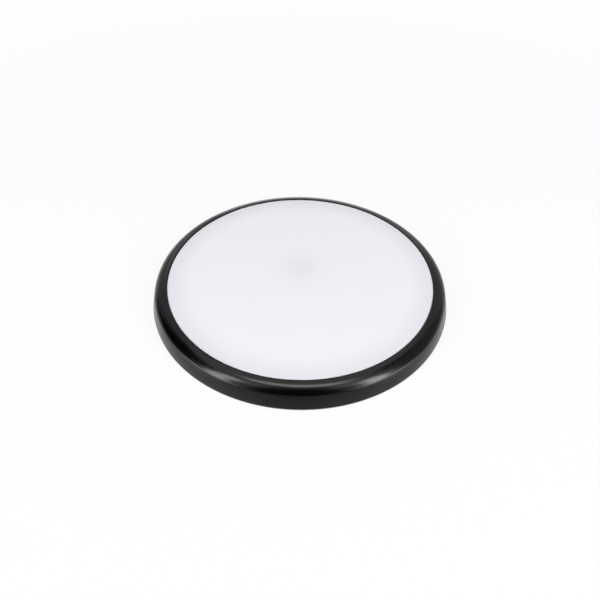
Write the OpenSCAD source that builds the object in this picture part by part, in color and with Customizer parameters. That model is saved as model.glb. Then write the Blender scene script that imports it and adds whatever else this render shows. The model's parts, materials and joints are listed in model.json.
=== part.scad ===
// Slim round ceiling light, lying on its back as it does on a table.
// The origin is the centre of the face that meets the ceiling, and +Z points into the room.
// The base screws to the ceiling. The ring and its diffuser twist on to it with four lugs.

/* [Trim ring] */
// Outer diameter of the ring at its lower edge
ring_d = 300; // [280:1:330]
// Width of the bezel seen from the front
bezel_w = 16.2; // [16:0.1:20]
// Height of the ring
ring_h = 20.2; // [19.8:0.1:24]
// Space between the ring's lower edge and the ceiling
shadow_gap = 1.2; // [0.6:0.1:2]
// Radius of the rounded top of the bezel
shoulder_r = 16; // [13:0.5:18]
// Radius of the tighter round between the top and the side
corner_r = 8; // [4:0.5:10]
// Slope of the surface where the two rounds meet
meet_a = 55; // [45:1:62]
// Lean of the side from upright
flank_lean = 14; // [10:0.5:16]
// Wall of the ring
ring_wall = 2; // [1.6:0.1:2.4]
// Thickness of the lip that holds the diffuser down
lip_t = 2.2; // [1.8:0.1:2.6]
// Width of the diffuser's flange under the lip
lip_w = 4.6; // [4:0.1:5.4]
// Small round on the lip's inner edge
edge_r = 0.4; // [0.2:0.1:0.8]

/* [Ribs and hooks inside the ring] */
// Number of stiffening ribs
rib_count = 24; // [16:4:32]
// Thickness of a rib
rib_t = 1.2; // [0.8:0.1:1.6]
// Lowest point of a rib
rib_low = 10; // [9.4:0.1:12]
// Number of snap hooks under the diffuser's flange
hook_count = 8; // [6:1:12]
// Angle that one hook covers
hook_arc = 9; // [6:1:12]
// Overlap of a hook with the flange
hook_grip = 1; // [0.6:0.1:1.2]
// Height of a hook
hook_h = 2.6; // [2:0.1:3]

/* [Diffuser] */
// Thickness of the diffuser
diffuser_t = 1.5; // [1.2:0.1:2]
// Play between the diffuser and the ring's inner edge
diffuser_gap = 0.25; // [0.1:0.05:0.5]
// Depth of the diffuser's rim below the ring's inner edge
diffuser_sink = 0.3; // [0:0.1:0.6]
// Rise of the diffuser towards its centre
diffuser_crown = 0.8; // [0:0.1:1.6]
// Round on the diffuser's edge
diffuser_edge_r = 0.8; // [0.4:0.1:1]

/* [Twist lock] */
// Number of lugs
lug_count = 4; // [3:1:5]
// Angle that one lug covers
lug_arc = 12; // [9:1:14]
// Underside of the lugs above the ceiling
lug_low = 4.2; // [3.6:0.1:4.6]
// Thickness of a lug
lug_t = 2.1; // [1.8:0.1:2.4]
// Angle that one ledge covers
ledge_arc = 16; // [15:1:18]
// Width of a ledge
ledge_w = 6.5; // [5.5:0.1:7]
// Thickness of a ledge
ledge_t = 1.8; // [1.5:0.1:2]
// Turn that frees the lugs
turn_a = 18; // [18:1:22]
// Angle that one stop covers
stop_arc = 1.5; // [1:0.5:2]

/* [Base] */
// Thickness of the floor
floor_t = 2; // [1.6:0.1:2.4]
// Depth of the hollow behind the floor
back_depth = 2; // [1.6:0.1:2.4]
// Thickness of the rim
rim_t = 1.8; // [1.5:0.1:2.2]
// Width of the rim's foot on the ceiling
rim_foot = 3.6; // [2.8:0.1:4.4]
// Thickness of the skirt outside the rim's foot
skirt_t = 2; // [1.6:0.1:2.2]
// Gap between the skirt and the ring
skirt_gap = 1; // [0.6:0.1:1.6]
// Radius of the round between floor and rim
cove_r = 1.5; // [1:0.1:1.7]
// Radius of the small ring behind the driver
hub_r = 45; // [44:1:47]
// Wall of the small ring
hub_t = 2; // [1.5:0.1:3]
// Number of ribs behind the floor
back_rib_count = 12; // [8:4:16]
// Thickness of a back rib
back_rib_t = 1.6; // [1.2:0.1:2]
// Depth of a back rib below the ceiling face
back_rib_sink = 0.6; // [0.4:0.1:1]
// Number of ceiling screw holes
fix_count = 4; // [3:1:4]
// Diameter of a ceiling screw hole
fix_hole_d = 5.2; // [4.5:0.1:5.5]
// Diameter of the screw head's countersink
fix_head_d = 9.4; // [8.6:0.1:9.8]
// Diameter of the boss round the hole on the room side
fix_boss_d = 12; // [11:0.5:13]
// Height of that boss above the floor
fix_boss_h = 2; // [1.8:0.1:3]
// Diameter of the pad round the hole on the ceiling side
fix_pad_d = 14; // [13:0.5:16]
// Distance of the hole from the rim's inner face
fix_inset = 5.4; // [5.2:0.1:6]

/* [Seal] */
// Thickness of the seal's legs
seal_leg = 0.7; // [0.5:0.1:0.8]
// Length of the legs
seal_depth = 2.4; // [2:0.1:3]
// Thickness of the seal above the rim
seal_cap = 1.2; // [1:0.1:1.6]

/* [Cable grommet] */
// Diameter of the cable hole
cable_d = 8; // [6:0.5:9]
// Diameter of the grommet's neck
grommet_neck_d = 14; // [13:0.5:15]
// Diameter of its flanges
grommet_d = 18; // [17:0.5:19]
// Thickness of a flange
grommet_flange = 1.4; // [1.2:0.1:1.6]
// Distance of the cable hole from the centre
grommet_y = 30; // [29:0.5:31]

/* [LED board] */
// Thickness of the board
board_t = 1.2; // [1:0.1:1.6]
// Number of LEDs in the inner row
inner_leds = 14; // [10:1:16]
// Number of LEDs in the outer row
outer_leds = 24; // [18:1:30]
// Distance of the inner row from the board's inner edge
inner_row = 24.5; // [22:0.5:26]
// Distance of the outer row from the board's outer edge
outer_row = 14; // [10:0.5:16]
// Length of an LED
led_l = 3.5; // [3:0.1:3.6]
// Width of an LED
led_w = 2.8; // [2.4:0.1:3]
// Height of an LED
led_h = 0.7; // [0.6:0.1:0.9]
// Diameter of an LED's lens
lens_d = 13; // [11:0.5:14]
// Height of the lens
lens_h = 4.8; // [4:0.1:5.5]
// Height of the lens's flat rim
lens_rim = 1; // [0.8:0.1:1.4]
// Width of the step between the rim and the dome
lens_step = 0.9; // [0.6:0.1:1.2]
// Radius of the hollow under the lens
lens_hollow_r = 2.9; // [2.6:0.1:3.2]
// Number of board screws
board_screws = 6; // [4:1:8]
// Distance of the board screws from the inner edge
board_screw_in = 44.5; // [43:0.5:46]

/* [Driver housing] */
// Thickness of the cover
cover_t = 1.2; // [1:0.1:1.5]
// Space between the cover and the diffuser
cover_gap = 2; // [1.5:0.1:2.4]
// Radius of the cover's flat crown
crown_r = 15; // [12:1:18]
// Slope of the roof
roof_a = 5.5; // [4:0.5:6]
// Round between roof and side
roof_r = 8; // [6:0.5:9]
// Width of the flange on the LED board
flange_w = 5; // [4:0.5:5.5]
// Distance of the cover's screws from its side
ear_out = 7.5; // [7:0.5:8]
// Radius of a screw ear
ear_r = 4.4; // [4:0.1:5]
// Width of the opening for the LED leads
notch_w = 6; // [5.5:0.5:8]
// Direction in which the LED leads leave
lead_a = 60; // [50:1:70]

/* [Driver board] */
// Radius of the driver's circuit board
pcb_r = 40; // [39.5:0.5:41]
// Thickness of the circuit board
pcb_t = 1.2; // [1:0.1:1.6]
// Distance of its straight edge from the centre
pcb_flat = 18; // [17.6:0.1:18.4]
// Height of the posts under the circuit board
post_h = 1.5; // [1.2:0.1:1.8]
// Radius of a post
post_r = 3.2; // [2.8:0.1:3.6]
// Distance of the posts from the circuit board's edge
post_in = 4.5; // [4:0.5:5]
// Play round the circuit board
pcb_gap = 1.3; // [1:0.1:1.6]

/* [Driver parts] */
// Radius of circuit board that the sizes and places below are drawn for
layout_r = 40; // [39.5:0.5:41]
// Terminal block: length, depth and height
terminal = [16, 12, 9]; // [6:0.5:18]
// Distance of the terminal block from the board's straight edge
terminal_in = 0.2; // [0:0.1:1]
// Transformer core: length, depth and height
core = [16, 15, 7.5]; // [5:0.5:18]
// Middle of the transformer
core_mid = [0, 6]; // [-40:0.1:40]
// Width of the core's centre leg
core_leg = 5.4; // [4:0.1:6]
// Length of the core's windows
core_window = 10.4; // [9:0.1:11]
// Input capacitor: diameter and length
input_cap = [8, 12]; // [5:0.5:14]
// Middle of the input capacitor
input_cap_mid = [-25, 4]; // [-40:0.1:40]
// Output capacitor: diameter and length
output_cap = [8, 11]; // [5:0.5:14]
// Middle of the output capacitor
output_cap_mid = [25, -4]; // [-40:0.1:40]
// Filter choke: diameter and height
choke = [8, 7]; // [5:0.5:9]
// Middle of the filter choke
choke_mid = [-20, -11]; // [-40:0.1:40]
// Fusible resistor: diameter and length
fuse = [3.2, 8]; // [2:0.1:9]
// Middle of the fusible resistor
fuse_mid = [-12, -10]; // [-40:0.1:40]
// Surge absorber: diameter and thickness
absorber = [7, 3.5]; // [2.5:0.1:8]
// Middle of the surge absorber
absorber_mid = [-29, -8]; // [-40:0.1:40]
// Safety capacitor: diameter and thickness
safety_cap = [7, 3]; // [2.5:0.1:8]
// Middle of the safety capacitor
safety_cap_mid = [14.5, -9]; // [-40:0.1:40]
// Film capacitor: length, depth and height
film_cap = [12, 5, 7.5]; // [4:0.5:14]
// Middle of the film capacitor
film_cap_mid = [-15, 24]; // [-40:0.1:40]
// Bridge rectifier: length, depth and height
bridge = [4.7, 3.9, 2.4]; // [2:0.1:6]
// Middle of the bridge rectifier
bridge_mid = [-15, 14]; // [-40:0.1:40]
// Driver chip: length, depth and height
chip = [4.9, 3.9, 1.5]; // [1:0.1:6]
// Middle of the driver chip
chip_mid = [14.5, 4]; // [-40:0.1:40]
// Output diode: length, depth and height
diode = [6.6, 5.8, 2.3]; // [2:0.1:7]
// Middle of the output diode
diode_mid = [26, 9]; // [-40:0.1:40]

/* [LED leads] */
// Connector on the driver: length along the lead, width and height
header = [7, 7.4, 5.8]; // [4:0.1:9]
// Distance of the connector from the board's edge
header_in = 16; // [15:0.5:18]
// Wall of the connector
header_wall = 0.8; // [0.6:0.1:1]
// Length of the plug that stands out of it
plug_out = 2.5; // [2:0.1:3]
// Connector on the LED board: length along the lead, width and height
socket = [5, 6, 4]; // [3:0.1:7]
// Distance of that connector from the driver cover's side
socket_out = 11; // [10:0.5:12]
// Diameter of a lead over its insulation
lead_d = 1.5; // [1:0.1:1.6]
// Distance between the two leads
lead_pitch = 2.5; // [2:0.1:2.8]
// Space under and over the leads where they leave the driver cover
lead_play = 0.25; // [0.2:0.05:0.4]

/* [Screws] */
// Diameter of a screw's core
screw_d = 2.8; // [2.4:0.1:3]
// Diameter of a screw's head
screw_head_d = 5.6; // [5:0.1:6]
// Height of a screw's head
screw_head_h = 2; // [1.6:0.1:2.2]
// Length of thread in the base
screw_grip = 2.6; // [2:0.1:2.8]
// Play round a screw in the board that it holds
screw_play = 0.4; // [0.2:0.1:0.6]
// Plastic left behind a screw
screw_back = 0.9; // [0.6:0.1:1]
// Diameter of the boss behind a screw
screw_boss_d = 7; // [6:0.5:8]

/* [Clearances] */
// Gap between parts that turn against each other
run_gap = 0.3; // [0.2:0.05:0.4]
// Radial gap between the lugs or hooks and the seal
pass_gap = 0.5; // [0.4:0.1:0.8]
// Gap between the LED board and what stands round it
board_gap = 1; // [0.6:0.1:1.4]
// Play of the diffuser's flange in the ring
flange_gap = 0.2; // [0.1:0.05:0.3]

/* [Hidden] */
$fn = 128;
// Fineness of small round things
small_fn = 40;
// Extra length of a cut, so that it runs clear of the face it starts at
over = 1;
// Direction in which the base's turned shape starts and ends, clear of its stops, ribs and bosses
seam_a = 60;

// Ring and diffuser, from the outer edge inwards
ring_r = ring_d / 2;
open_r = ring_r - bezel_w;
top_z = shadow_gap + ring_h;
lip_z = top_z - lip_t;
flange_r = open_r + lip_w;
flange_z = lip_z - diffuser_t;
pocket_r = flange_r + flange_gap;
hook_r = flange_r - hook_grip;

// The corner round touches the leaning side, and the rounded top touches the corner round
foot = [ring_r, shadow_gap];
flank_n = [cos(flank_lean), sin(flank_lean)];
corner_z = top_z - shoulder_r + (shoulder_r - corner_r) * sin(meet_a);
corner_c = [(foot * flank_n - corner_r - corner_z * flank_n[1]) / flank_n[0], corner_z];
shoulder_c = corner_c - (shoulder_r - corner_r) * [cos(meet_a), sin(meet_a)];

// Radius of the ring's inner side at height z
function ring_ir(z) = ring_r - ring_wall / cos(flank_lean) + (shadow_gap - z) * tan(flank_lean);

// Base and seal, from the hooks inwards
seal_or = hook_r - pass_gap;
rim_or = seal_or - seal_leg;
rim_ir = rim_or - rim_t;
seal_ir = rim_ir - seal_leg;
seal_top = flange_z - run_gap;
rim_top = seal_top - seal_cap;
floor_top = back_depth + floor_t;
fix_r = rim_ir - fix_inset;
skirt_top = shadow_gap + skirt_t;
skirt_r = ring_ir(skirt_top) - skirt_gap;

// Twist lock
lug_step = 360 / lug_count;
ledge_low = lug_low + lug_t + run_gap;
ledge_or = rim_or + ledge_w;
lug_slack = atan(run_gap / ledge_or) + 0.5;

// LED board and driver
cover_ir = pcb_r + pcb_gap;
cover_or = cover_ir + cover_t;
board_ir = cover_or + board_gap;
board_or = fix_r - fix_boss_d / 2 - board_gap;
board_top = floor_top + board_t;
ear_at = cover_or + ear_out;
post_top = floor_top + post_h;
pcb_top = post_top + pcb_t;
cover_top = top_z - diffuser_sink + diffuser_crown - diffuser_t - cover_gap;
roof_c = [
    cover_or - roof_r,
    cover_top - (roof_r + sin(roof_a) * (cover_or - roof_r - crown_r)) / cos(roof_a)
];
post_at = pcb_r - post_in;
post_angles = [-15, 100, 185];
ear_angles = [0, 120, 240];

// Screws: radius of the core and length of the pointed end
screw_r = screw_d / 2;
screw_tip = 0.8;

// Driver parts keep their share of the circuit board, in size and place, when its radius changes
share = pcb_r / layout_r;
function shared(size) = [size[0] * share, size[1] * share, size[2]];
terminal_size = shared(terminal);
terminal_at = [0, terminal_in + terminal_size[1] / 2 - pcb_flat];
core_size = shared(core);
core_at = core_mid * share;
centre_leg = core_leg * share;
window_l = core_window * share;
input_cap_at = input_cap_mid * share;
output_cap_at = output_cap_mid * share;
choke_at = choke_mid * share;
fuse_at = fuse_mid * share;
absorber_at = absorber_mid * share;
safety_cap_at = safety_cap_mid * share;
film_cap_at = film_cap_mid * share;
bridge_at = bridge_mid * share;
chip_at = chip_mid * share;
diode_at = diode_mid * share;
header_at = pcb_r - header_in;

// Wells for the terminal block's screws
well_d = 3.8;
well_depth = 5;

// Transformer: thickness of the bobbin's foot, width of one window, height of the winding over the core
bobbin_foot = 1.2;
window_w = (core_size[0] - centre_leg) / 4;
coil_rise = 0.6;

// LED leads, seen from the side: out of the plug, over the circuit board's edge, into the other connector
plug_in = 5;
plug_end = header_at + header[0] + plug_out;
plug_mid = pcb_top + header[2] / 2;
pass_z = pcb_top + lead_play + lead_d / 2;
socket_at = cover_or + socket_out;
socket_mid = board_top + socket[2] / 2;
lead_bend = 2;
lead_route = [
    [plug_end, plug_mid], [plug_end + lead_bend / 2, plug_mid],
    [plug_end + lead_bend, plug_mid - 0.4], [pcb_r - lead_bend, pass_z + 0.4],
    [pcb_r - lead_bend / 2, pass_z], [cover_ir, pass_z],
    [cover_or + flange_w, pass_z], [socket_at - lead_bend, socket_mid], [socket_at, socket_mid]
];

// Points of an arc about c, from angle a0 to angle a1
function arc(c, r, a0, a1, n = 8) =
    [for (i = [0:n]) let (a = a0 + (a1 - a0) * i / n) c + r * [cos(a), sin(a)]];

// Copies of the children, evenly round the axis
module around(count, start = 0) {
    for (i = [0:count - 1]) rotate(start + 360 * i / count) children();
}

// A wedge of a turned shape, from angle a to angle a + width
module wedge(a, width) {
    rotate(a) rotate_extrude(angle = width) children();
}

// A flat ring between two radii and two heights
module band(r0, r1, z0, z1) {
    translate([0, 0, z0]) difference() {
        cylinder(r = r1, h = z1 - z0);
        translate([0, 0, -over]) cylinder(r = r0, h = z1 - z0 + 2 * over);
    }
}

// A rectangle between two radii and two heights, for turning
module cell(r0, r1, z0, z1) {
    translate([r0, z0]) square([r1 - r0, z1 - z0]);
}

// Box with bevelled upright edges on the circuit board, with its middle at p
module chip_body(p, size, edge = 0.3) {
    x = size[0] / 2;
    y = size[1] / 2;
    translate([p[0], p[1], pcb_top]) linear_extrude(size[2]) polygon([
        [-x + edge, -y], [x - edge, -y], [x, -y + edge], [x, y - edge],
        [x - edge, y], [-x + edge, y], [-x, y - edge], [-x, -y + edge]
    ]);
}

// Section of the ring's outside, moved inwards by off and filled to the axis side
module ring_section(off = 0) {
    low = off > 0 ? shadow_gap - over : shadow_gap;
    low_r = ring_r - off / cos(flank_lean) + (shadow_gap - low) * tan(flank_lean);
    polygon(concat(
        [[open_r - over, low], [low_r, low]],
        arc(corner_c, corner_r - off, flank_lean, meet_a, 10),
        arc(shoulder_c, shoulder_r - off, meet_a, 90, 14),
        [[open_r - over, top_z - off]]
    ));
}

// What lies outside radius r, for trimming sections
module beyond(r) {
    translate([r, shadow_gap - 2 * over]) square([ring_r, ring_h + 4 * over]);
}

// Section of the whole ring: its wall, its lip and the round on the lip's inner edge
module ring_wall_section() {
    difference() {
        ring_section();
        intersection() {
            ring_section(ring_wall);
            beyond(pocket_r);
        }
        cell(open_r - 2 * over, pocket_r, shadow_gap - over, lip_z);
        cell(open_r - 2 * over, open_r, shadow_gap, top_z + over);
        difference() {
            cell(open_r - over, open_r + edge_r, top_z - edge_r, top_z + over);
            translate([open_r + edge_r, top_z - edge_r]) circle(r = edge_r, $fn = small_fn);
        }
    }
}

// One stiffening rib, rising from a slanted foot to the ring's wall
module ring_rib() {
    rib_r = pocket_r + pass_gap;
    slant = 4;
    rotate([90, 0, 0]) translate([0, 0, -rib_t / 2]) linear_extrude(rib_t) intersection() {
        ring_section(ring_wall / 2);
        polygon([
            [rib_r, top_z], [rib_r, rib_low + slant], [rib_r + slant, rib_low],
            [ring_r, rib_low], [ring_r, top_z]
        ]);
    }
}

// One snap hook, with a slanted lower face that the flange slides past
module snap_hook() {
    nose = 0.8;
    low = flange_z - hook_h;
    wedge(-hook_arc / 2, hook_arc) intersection() {
        ring_section(ring_wall / 2);
        polygon([
            [hook_r, flange_z], [hook_r, flange_z - nose], [hook_r + hook_h - nose, low],
            [ring_r, low], [ring_r, flange_z]
        ]);
    }
}

// One lug of the twist lock, with a web to the ring's wall
module lug() {
    web_r = ledge_or + 2 * pass_gap + run_gap;
    web_top = rib_low - over;
    wedge(0, lug_arc) intersection() {
        ring_section(ring_wall / 2);
        polygon([
            [seal_or + pass_gap, lug_low], [ring_r, lug_low], [ring_r, web_top], [web_r, web_top],
            [web_r, lug_low + lug_t], [seal_or + pass_gap, lug_low + lug_t]
        ]);
    }
}

module trim_ring() {
    color("#1d1e1e") {
        rotate_extrude() ring_wall_section();
        around(rib_count, 180 / rib_count) ring_rib();
        around(hook_count, 180 / hook_count + 180 / rib_count) snap_hook();
        around(lug_count, lug_slack) lug();
    }
}

// Height of the diffuser's crown at radius r
function crown_z(r, edge) = diffuser_crown * (1 - pow(r / edge, 2));

module diffuser() {
    panel_r = open_r - diffuser_gap;
    rim_z = top_z - diffuser_sink;
    steps = 12;
    inner_r = panel_r - diffuser_t;
    flat_r = panel_r - diffuser_edge_r;
    color("#eef0f3") rotate_extrude() polygon(concat(
        [for (i = [0:steps]) let (r = flat_r * i / steps) [r, rim_z + crown_z(r, flat_r)]],
        arc([flat_r, rim_z - diffuser_edge_r], diffuser_edge_r, 90, 0, 6),
        [
            [panel_r, lip_z], [flange_r, lip_z], [flange_r, flange_z], [inner_r, flange_z]
        ],
        [for (i = [steps:-1:0]) let (r = inner_r * i / steps)
            [r, rim_z - diffuser_t + crown_z(r, inner_r)]]
    ));
}

// Hole that a screw cuts its thread in, from height z down
module pilot(z) {
    translate([0, 0, screw_back]) cylinder(r = screw_r, h = z - screw_back + over, $fn = small_fn);
}

// Boss behind the floor for the end of a screw
module back_boss() {
    translate([0, 0, back_rib_sink])
        cylinder(d = screw_boss_d, h = back_depth - back_rib_sink + floor_t / 2, $fn = small_fn);
}

// Ledge that holds one lug, with the stop behind it and the stop at the end of its turn
module lock_track() {
    track_end = lug_slack + lug_arc + turn_a + lug_slack;
    stop_low = lug_low - run_gap;
    root = rim_or - rim_t / 2;
    wedge(-stop_arc, ledge_arc + stop_arc) cell(root, ledge_or, ledge_low, ledge_low + ledge_t);
    wedge(-stop_arc, stop_arc) cell(root, ledge_or, stop_low, ledge_low + ledge_t);
    wedge(track_end, stop_arc) cell(root, ledge_or, stop_low, ledge_low + ledge_t);
}

// Section of the base's floor, cove, rim and skirt
module base_section() {
    cell(0, rim_or, back_depth, floor_top);
    cell(rim_ir, rim_or, back_depth, rim_top);
    cell(rim_or - rim_foot, rim_or, 0, floor_top);
    cell(rim_or - rim_t, skirt_r, shadow_gap, skirt_top);
    cell(hub_r - hub_t, hub_r, 0, floor_top);
    difference() {
        cell(rim_ir - cove_r, rim_ir + rim_t / 2, floor_top - floor_t / 2, floor_top + cove_r);
        translate([rim_ir - cove_r, floor_top + cove_r]) circle(r = cove_r, $fn = small_fn);
    }
}

// Rib behind the floor, from the small ring to the rim's foot
module back_rib() {
    length = rim_or - rim_foot / 2 - hub_r + hub_t / 2;
    translate([hub_r - hub_t / 2, -back_rib_t / 2, back_rib_sink])
        cube([length, back_rib_t, floor_top - back_rib_sink - floor_t / 2]);
}

// Places of the screws that hold the LED board, the driver cover and the driver board
module at_board_screws() {
    around(board_screws, 180 / board_screws) translate([board_ir + board_screw_in, 0]) children();
}
module at_ears() {
    for (a = ear_angles) rotate(a) translate([ear_at, 0]) children();
}
module at_posts() {
    for (a = post_angles) rotate(a) translate([post_at, 0]) children();
}
module at_fixings() {
    around(fix_count, 180 / fix_count) translate([fix_r, 0]) children();
}

module base() {
    color("#e9e9e6") difference() {
        union() {
            rotate(seam_a) rotate_extrude() base_section();
            around(back_rib_count, 180 / back_rib_count) back_rib();
            at_board_screws() back_boss();
            at_ears() back_boss();
            at_posts() back_boss();
            at_posts() translate([0, 0, floor_top - over])
                cylinder(r = post_r, h = post_h + over, $fn = small_fn);
            at_fixings() cylinder(d = fix_pad_d, h = floor_top, $fn = small_fn);
            at_fixings() cylinder(d = fix_boss_d, h = floor_top + fix_boss_h, $fn = small_fn);
            around(lug_count) lock_track();
        }
        at_board_screws() pilot(floor_top);
        at_ears() pilot(floor_top);
        at_posts() pilot(post_top);
        at_fixings() fixing_hole();
        translate([0, -grommet_y, 0]) cylinder(d = grommet_neck_d, h = floor_top + over, $fn = small_fn);
    }
}

// Through hole for a ceiling screw, countersunk on the room side
module fixing_hole() {
    top = floor_top + fix_boss_h;
    sink = (fix_head_d - fix_hole_d) / 2;
    translate([0, 0, -over]) cylinder(d = fix_hole_d, h = top + 2 * over, $fn = small_fn);
    translate([0, 0, top - sink]) cylinder(d1 = fix_hole_d, d2 = fix_head_d, h = sink, $fn = small_fn);
    translate([0, 0, top]) cylinder(d = fix_head_d, h = over, $fn = small_fn);
}

module cover_seal() {
    color("#d9dad8") rotate_extrude() difference() {
        polygon([
            [seal_ir, rim_top - seal_depth], [seal_or, rim_top - seal_depth],
            [seal_or, rim_top + seal_cap / 3], [seal_or - seal_leg, seal_top],
            [seal_ir + seal_leg, seal_top], [seal_ir, rim_top + seal_cap / 3]
        ]);
        cell(rim_ir, rim_or, rim_top - seal_depth - over, rim_top);
    }
}

module cable_grommet() {
    low = back_depth - grommet_flange;
    high = floor_top + grommet_flange;
    neck_r = grommet_neck_d / 2;
    rim_r = grommet_d / 2;
    bevel = grommet_flange / 2;
    color("#2b2b2b") translate([0, -grommet_y, 0]) rotate_extrude($fn = small_fn) polygon([
        [cable_d / 2, low], [rim_r - bevel, low], [rim_r, low + bevel], [rim_r, back_depth],
        [neck_r, back_depth], [neck_r, floor_top], [rim_r, floor_top], [rim_r, high - bevel],
        [rim_r - bevel, high], [cable_d / 2, high]
    ]);
}

// Clearance hole for a screw through a board
module screw_hole(low, high) {
    translate([0, 0, low - over])
        cylinder(r = screw_r + screw_play, h = high - low + 2 * over, $fn = small_fn);
}

module led_board() {
    color("#f4f4f1") difference() {
        band(board_ir, board_or, floor_top, board_top);
        at_board_screws() screw_hole(floor_top, board_top);
        at_ears() screw_hole(floor_top, board_top);
    }
}

// Places of all LEDs, in two rows
module at_leds() {
    around(inner_leds, 180 / inner_leds) translate([board_ir + inner_row, 0, board_top]) children();
    around(outer_leds) translate([board_or - outer_row, 0, board_top]) children();
}

module leds() {
    dent = 0.15;
    color("#f2d96b") at_leds() difference() {
        translate([-led_l / 2, -led_w / 2, 0]) cube([led_l, led_w, led_h]);
        translate([0, 0, led_h - dent]) cylinder(d = led_w * 0.75, h = over, $fn = small_fn);
    }
}

// Section of a domed lens with a hollow over the LED
module lens_section() {
    dome_r = lens_d / 2 - lens_step / 2;
    difference() {
        union() {
            cell(0, lens_d / 2, 0, lens_rim);
            intersection() {
                translate([0, lens_h - dome_r]) circle(r = dome_r);
                cell(0, lens_d / 2 - lens_step, 0, lens_h + over);
            }
        }
        circle(r = lens_hollow_r);
    }
}

module led_lenses() {
    color("#dfe7ea") at_leds() rotate_extrude($fn = small_fn) lens_section();
}

// Pan-head screw standing on height 0, with its thread below
module screw(length) {
    head_r = screw_head_d / 2;
    side = screw_head_h * 0.4;
    rise = screw_head_h - side;
    ball_r = (head_r * head_r + rise * rise) / (2 * rise);
    ball_z = screw_head_h - ball_r;
    slot_w = 0.8;
    slot_h = screw_head_h * 0.6;
    difference() {
        rotate_extrude($fn = small_fn) polygon(concat(
            [[0, -length], [screw_r - screw_tip / 2, -length], [screw_r, -length + screw_tip], [screw_r, 0]],
            [[head_r, 0]],
            arc([0, ball_z], ball_r, asin((side - ball_z) / ball_r), 90, 6)
        ));
        for (a = [0, 90]) rotate(a) translate([-head_r * 0.6, -slot_w / 2, screw_head_h - slot_h])
            cube([head_r * 1.2, slot_w, slot_h + over]);
    }
}

module led_board_screws() {
    color("#b9bcc0") at_board_screws() translate([0, 0, board_top]) screw(board_t + screw_grip);
}

module driver_cover_screws() {
    color("#b9bcc0") at_ears() translate([0, 0, board_top + cover_t]) screw(cover_t + board_t + screw_grip);
}

module driver_board_screws() {
    color("#b9bcc0") at_posts() translate([0, 0, pcb_top]) screw(pcb_t + post_h + screw_grip);
}

// Outline of the driver cover's side, roof and crown, moved inwards by off
function cover_line(off) = concat(
    [[cover_or - off, board_top]],
    arc(roof_c, roof_r - off, 0, 90 - roof_a, 8),
    [[crown_r, cover_top - off], [0, cover_top - off]]
);

module driver_cover() {
    notch_h = pass_z + lead_d / 2 + lead_play - board_top + over;
    color("#f5f5f3") difference() {
        union() {
            rotate_extrude() difference() {
                polygon(concat([[0, board_top]], cover_line(0)));
                polygon(concat([[0, board_top - over], [cover_ir, board_top - over]], cover_line(cover_t)));
            }
            band(cover_ir, cover_or + flange_w, board_top, board_top + cover_t);
            at_ears() translate([0, 0, board_top]) cylinder(r = ear_r, h = cover_t, $fn = small_fn);
        }
        at_ears() screw_hole(board_top, board_top + cover_t);
        rotate(lead_a) translate([cover_ir - over, -notch_w / 2, board_top - over])
            cube([cover_t + flange_w + 2 * over, notch_w, notch_h]);
    }
}

// Outline of the driver's circuit board: a disc with one straight edge
module pcb_outline() {
    intersection() {
        circle(r = pcb_r);
        translate([-pcb_r, -pcb_flat]) square(2 * pcb_r);
    }
}

module driver_board() {
    color("#3f7f4d") difference() {
        translate([0, 0, post_top]) linear_extrude(pcb_t) pcb_outline();
        at_posts() screw_hole(post_top, pcb_top);
    }
}

// Places of the terminal block's two poles
module at_poles() {
    pitch = terminal_size[0] / 2;
    for (x = [-1, 1]) translate([terminal_at[0] + x * pitch / 2, terminal_at[1], pcb_top]) children();
}

module terminal_block() {
    entry_d = 3.6;
    color("#e6e4da") difference() {
        chip_body(terminal_at, terminal_size);
        at_poles() translate([0, 0, terminal[2] - well_depth])
            cylinder(d = well_d, h = well_depth + over, $fn = small_fn);
        at_poles() translate([0, -terminal_size[1] / 2 - over, entry_d * 0.75])
            rotate([-90, 0, 0]) cylinder(d = entry_d, h = terminal_size[1] * 0.7, $fn = small_fn);
    }
}

module terminal_screws() {
    head_h = 3;
    slot_w = 0.7;
    slot_h = 0.8;
    color("#c9b26a") at_poles() translate([0, 0, terminal[2] - well_depth]) difference() {
        cylinder(d = well_d - 2 * run_gap, h = head_h, $fn = small_fn);
        translate([-well_d, -slot_w / 2, head_h - slot_h]) cube([2 * well_d, slot_w, over]);
    }
}

// Transformer: a core with two windows, laid round a wound bobbin on a foot with two pin rails
module transformer_core() {
    color("#4a4a4c") translate([core_at[0], core_at[1], pcb_top + bobbin_foot]) difference() {
        translate([-core_size[0] / 2, -core_size[1] / 2, 0]) cube(core_size);
        for (s = [-1, 1]) translate([s * (centre_leg + window_w) / 2 - window_w / 2, -window_l / 2, -over])
            cube([window_w, window_l, core_size[2] + 2 * over]);
    }
}

module transformer_bobbin() {
    rail = [core_size[0] - 2, 2.4, 3];
    color("#3a3a3a") translate([core_at[0], core_at[1], pcb_top]) {
        translate([-rail[0] / 2, -core_size[1] / 2 - rail[1], 0])
            cube([rail[0], core_size[1] + 2 * rail[1], bobbin_foot]);
        for (s = [-1, 1])
            translate([-rail[0] / 2, s * (core_size[1] + rail[1]) / 2 - rail[1] / 2, 0]) cube(rail);
    }
}

module transformer_winding() {
    coil = [centre_leg + 2 * window_w, window_l, core_size[2] + coil_rise];
    color("#d8b43c") translate([core_at[0], core_at[1], pcb_top + bobbin_foot]) difference() {
        translate([-coil[0] / 2, -coil[1] / 2, 0]) cube(coil);
        translate([-centre_leg / 2, -coil[1], -over]) cube([centre_leg, 2 * coil[1], core_size[2] + over]);
    }
}

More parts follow.
